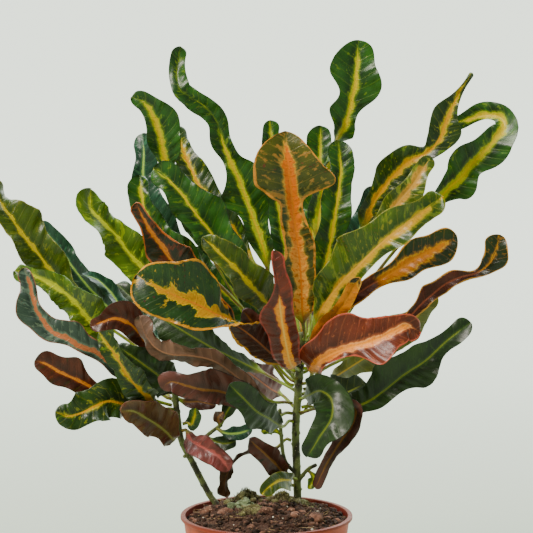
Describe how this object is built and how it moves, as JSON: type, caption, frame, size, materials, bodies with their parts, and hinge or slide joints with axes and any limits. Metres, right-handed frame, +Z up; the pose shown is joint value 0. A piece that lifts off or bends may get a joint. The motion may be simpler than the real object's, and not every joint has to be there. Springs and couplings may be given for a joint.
{
  "type": "potted croton",
  "caption": "House plant with narrow, waved and twisted leaves in green, gold, orange and maroon on slim stems, standing in a tapered round plastic nursery pot filled with soil.",
  "frame": {"origin": "centre of the pot's flat underside, on the surface the pot stands on", "axes": "+Z up along the pot's axis, +X to the right of the plant's front, +Y to its back"},
  "size_m": [0.3951, 0.2306, 0.4719],
  "materials": {
    "pot": "satin",
    "soil": "matte",
    "stem": "matte",
    "leaf_olive": "satin",
    "leaf_blue": "satin",
    "leaf_lime": "satin",
    "leaf_maroon": "satin",
    "leaf_dark": "satin",
    "leaf_green": "satin",
    "leaf_pink": "satin",
    "leaf_purple": "satin",
    "leaf_gold": "satin",
    "leaf_orange": "satin",
    "leaf_salmon": "satin",
    "leaf_withered": "satin",
    "leaf_rose": "satin"
  },
  "bodies": {
    "root": {"pot": "pot", "soil": "soil", "stem_main": "stem", "stem_side": "stem", "leaf_far_left_olive": "leaf_olive", "leaf_far_left_blue": "leaf_blue", "leaf_left_lime": "leaf_lime", "leaf_left_arch_grey": "leaf_blue", "leaf_left_long_twisted": "leaf_blue", "leaf_left_brown_oval": "leaf_maroon", "leaf_left_low_green": "leaf_dark", "leaf_left_low_brown": "leaf_maroon", "leaf_left_mid_green": "leaf_green", "leaf_left_mid_dark": "leaf_dark", "leaf_left_folded_tip": "leaf_maroon", "leaf_left_pink_long": "leaf_pink", "leaf_left_purple_low": "leaf_purple", "leaf_left_gold": "leaf_gold", "leaf_left_orange_margin": "leaf_maroon", "leaf_left_high_lime": "leaf_lime", "leaf_left_back_dark": "leaf_dark", "leaf_upper_left_green": "leaf_green", "leaf_upper_left_blue": "leaf_blue", "leaf_upper_left_lobed": "leaf_green", "leaf_upper_left_olive": "leaf_olive", "leaf_upper_left_dark": "leaf_dark", "leaf_upper_left_slim": "leaf_olive", "leaf_left_centre_green": "leaf_green", "leaf_top_twisted_left": "leaf_green", "leaf_top_back_tip": "leaf_green", "leaf_top_hooded": "leaf_orange", "leaf_top_round_tip": "leaf_green", "leaf_top_right_green": "leaf_green", "leaf_top_tallest": "leaf_green", "leaf_right_centre_sheen": "leaf_blue", "leaf_right_olive_big": "leaf_olive", "leaf_right_pointed": "leaf_orange", "leaf_right_peach": "leaf_olive", "leaf_right_looped": "leaf_green", "leaf_right_orange_paddle": "leaf_orange", "leaf_right_ochre_small": "leaf_gold", "leaf_right_salmon": "leaf_salmon", "leaf_right_twisted_brown": "leaf_maroon", "leaf_right_low_green": "leaf_dark", "leaf_right_hanging_purple": "leaf_purple", "leaf_front_hanging_green": "leaf_dark", "leaf_front_red_orange": "leaf_orange", "leaf_centre_purple": "leaf_purple", "leaf_front_dark_low": "leaf_dark", "leaf_base_purple": "leaf_purple", "leaf_base_yellow": "leaf_olive", "leaf_base_withered": "leaf_withered", "leaf_side_stem_rose": "leaf_rose", "leaf_side_stem_green": "leaf_green", "leaf_back_green": "leaf_green", "leaf_back_gold": "leaf_gold", "leaf_back_right_olive": "leaf_olive", "leaf_back_right_low": "leaf_dark", "leaf_back_left_maroon": "leaf_maroon", "leaf_back_left_purple": "leaf_purple"}
  },
  "joints": []
}
